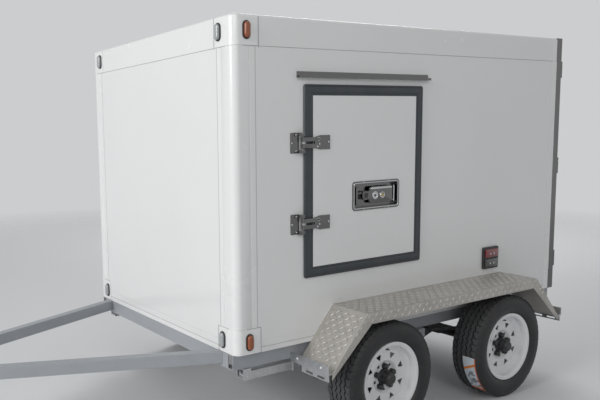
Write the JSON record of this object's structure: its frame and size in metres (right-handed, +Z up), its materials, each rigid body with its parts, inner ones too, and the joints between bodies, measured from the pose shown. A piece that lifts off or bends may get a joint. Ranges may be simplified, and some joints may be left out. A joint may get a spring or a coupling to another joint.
{
  "type": "box trailer",
  "caption": "Tandem-axle insulated box trailer with A-frame drawbar, jack, side service door, rear doors, tread-plate mudguards and folding corner steadies.",
  "frame": {"origin": "on the ground, under the centre of the whole trailer", "axes": "+X rearwards along the trailer, +Y to its right side, +Z up"},
  "size_m": [4.191, 2.024, 2.108],
  "materials": {
    "white_panel": "gloss white sandwich panel skin",
    "white_profile": "gloss white edge profile",
    "white_cap": "gloss white moulded cap",
    "grey_chassis": "light grey chassis paint",
    "zinc": "zinc plated steel",
    "stainless": "polished stainless steel",
    "dark_gasket": "dark grey door seal",
    "black_steel": "black painted steel",
    "tyre": "black road tyre",
    "white_rim": "white painted steel wheel",
    "checker_plate": "aluminium tread plate",
    "amber": "amber lens",
    "clear": "clear lens",
    "red": "red lens",
    "black_plastic": "black lamp base",
    "white_plate": "blank plate",
    "floor_sheet": "grey non-slip floor sheet"
  },
  "bodies": {
    "trailer": {"amber_lenses": "amber", "axle_front": "black_steel", "axle_rear": "black_steel", "clear_lenses": "clear", "corner_caps": "white_cap", "coupling_handle": "zinc", "coupling_head": "zinc", "cross_members": "grey_chassis", "drawbar": "grey_chassis", "drip_gutter": "stainless", "edge_profiles": "white_profile", "equalisers": "black_steel", "floor_lining": "floor_sheet", "floor_panel": "white_panel", "front_wall": "white_panel", "jack_tube": "zinc", "lamp_bezels": "black_plastic", "leaf_springs": "black_steel", "left_wall": "white_panel", "mudguard_left": "checker_plate", "mudguard_right": "checker_plate", "mudguard_stays": "zinc", "number_plate": "white_plate", "rear_frame": "stainless", "rear_light_bar": "grey_chassis", "red_lenses": "red", "right_wall": "white_panel", "roof_panel": "white_panel", "side_hinge_plates": "stainless", "side_lamp_bases": "black_plastic", "side_rails": "grey_chassis", "spring_hangers": "grey_chassis", "steady_brackets": "zinc"},
    "wheel_front_left": {"tyre_front_left": "tyre", "rim_front_left": "white_rim", "hub_front_left": "black_steel"},
    "wheel_front_right": {"tyre_front_right": "tyre", "rim_front_right": "white_rim", "hub_front_right": "black_steel"},
    "wheel_rear_left": {"tyre_rear_left": "tyre", "rim_rear_left": "white_rim", "hub_rear_left": "black_steel"},
    "wheel_rear_right": {"tyre_rear_right": "tyre", "rim_rear_right": "white_rim", "hub_rear_right": "black_steel"},
    "side_door": {"side_door_leaf": "white_panel", "side_door_gasket": "dark_gasket", "side_door_lock": "stainless", "side_door_straps": "stainless"},
    "rear_door_left": {"rear_leaf_left": "white_panel", "rear_gear_left": "stainless"},
    "rear_door_right": {"rear_leaf_right": "white_panel", "rear_gear_right": "stainless"},
    "jack_inner": {"jack_leg": "zinc"},
    "steady_front_left": {"steady_front_left": "zinc"},
    "steady_front_right": {"steady_front_right": "zinc"},
    "steady_rear_left": {"steady_rear_left": "zinc"},
    "steady_rear_right": {"steady_rear_right": "zinc"}
  },
  "joints": [
    {"name": "wheel_front_left_spin", "type": "hinge", "parent": "trailer", "child": "wheel_front_left", "pos_m": [0.3295, -0.905, 0.298], "axis": [0, 1, 0], "continuous": true},
    {"name": "wheel_front_right_spin", "type": "hinge", "parent": "trailer", "child": "wheel_front_right", "pos_m": [0.3295, 0.905, 0.298], "axis": [0, 1, 0], "continuous": true},
    {"name": "wheel_rear_left_spin", "type": "hinge", "parent": "trailer", "child": "wheel_rear_left", "pos_m": [1.2895, -0.905, 0.298], "axis": [0, 1, 0], "continuous": true},
    {"name": "wheel_rear_right_spin", "type": "hinge", "parent": "trailer", "child": "wheel_rear_right", "pos_m": [1.2895, 0.905, 0.298], "axis": [0, 1, 0], "continuous": true},
    {"name": "side_door_swing", "type": "hinge", "parent": "trailer", "child": "side_door", "pos_m": [-0.0935, -0.792, 1.318], "axis": [0, 0, -1], "range_deg": [0, 170]},
    {"name": "rear_door_left_swing", "type": "hinge", "parent": "trailer", "child": "rear_door_left", "pos_m": [2.0835, -0.75, 1.308], "axis": [0, 0, -1], "range_deg": [0, 220]},
    {"name": "rear_door_right_swing", "type": "hinge", "parent": "trailer", "child": "rear_door_right", "pos_m": [2.0835, 0.75, 1.308], "axis": [0, 0, 1], "range_deg": [0, 220]},
    {"name": "jack_lift", "type": "slide", "parent": "trailer", "child": "jack_inner", "axis": [0, 0, 1], "range_m": [-0.12, 0.22]},
    {"name": "steady_front_left_fold", "type": "hinge", "parent": "trailer", "child": "steady_front_left", "pos_m": [-0.4125, -0.72, 0.392], "axis": [0, 1, 0], "range_deg": [0, 90]},
    {"name": "steady_front_right_fold", "type": "hinge", "parent": "trailer", "child": "steady_front_right", "pos_m": [-0.4125, 0.72, 0.392], "axis": [0, 1, 0], "range_deg": [0, 90]},
    {"name": "steady_rear_left_fold", "type": "hinge", "parent": "trailer", "child": "steady_rear_left", "pos_m": [2.0315, -0.72, 0.392], "axis": [0, -1, 0], "range_deg": [0, 90]},
    {"name": "steady_rear_right_fold", "type": "hinge", "parent": "trailer", "child": "steady_rear_right", "pos_m": [2.0315, 0.72, 0.392], "axis": [0, -1, 0], "range_deg": [0, 90]}
  ]
}
